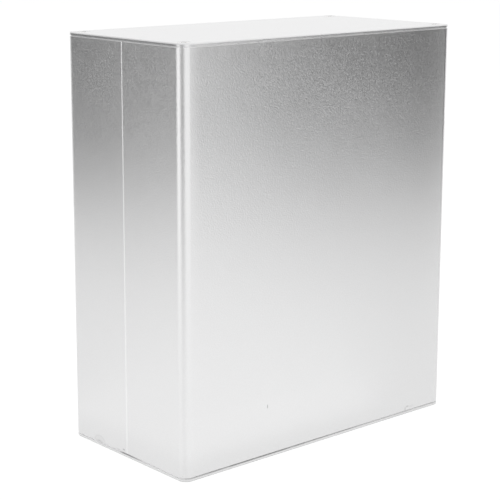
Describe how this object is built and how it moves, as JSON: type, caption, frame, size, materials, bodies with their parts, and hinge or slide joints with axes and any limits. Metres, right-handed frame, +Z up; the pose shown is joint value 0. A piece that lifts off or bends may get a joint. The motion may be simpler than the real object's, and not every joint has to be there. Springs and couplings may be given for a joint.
{
  "type": "split aluminium project box",
  "caption": "Upright rectangular enclosure of interlocking extruded shell halves closed by flat screwed end plates, with board slots inside.",
  "frame": {"origin": "middle of the underside of the bottom end plate, on which the box stands", "axes": "+Z up along the extrusion, X across the wide faces, Y through the box; the front shell faces -Y and the seam lies in the plane Y = 0"},
  "size_m": [0.16, 0.08, 0.184],
  "materials": {
    "shell": "fine bead-blasted, clear anodised satin",
    "end_plate": "fine bead-blasted, clear anodised satin",
    "screw": "bright nickel-plated steel"
  },
  "bodies": {
    "root": {"front_shell": "shell", "rear_shell": "shell", "top_end_plate": "end_plate", "bottom_end_plate": "end_plate", "top_screw_1": "screw", "top_screw_2": "screw", "top_screw_3": "screw", "top_screw_4": "screw", "bottom_screw_1": "screw", "bottom_screw_2": "screw", "bottom_screw_3": "screw", "bottom_screw_4": "screw"}
  },
  "joints": []
}
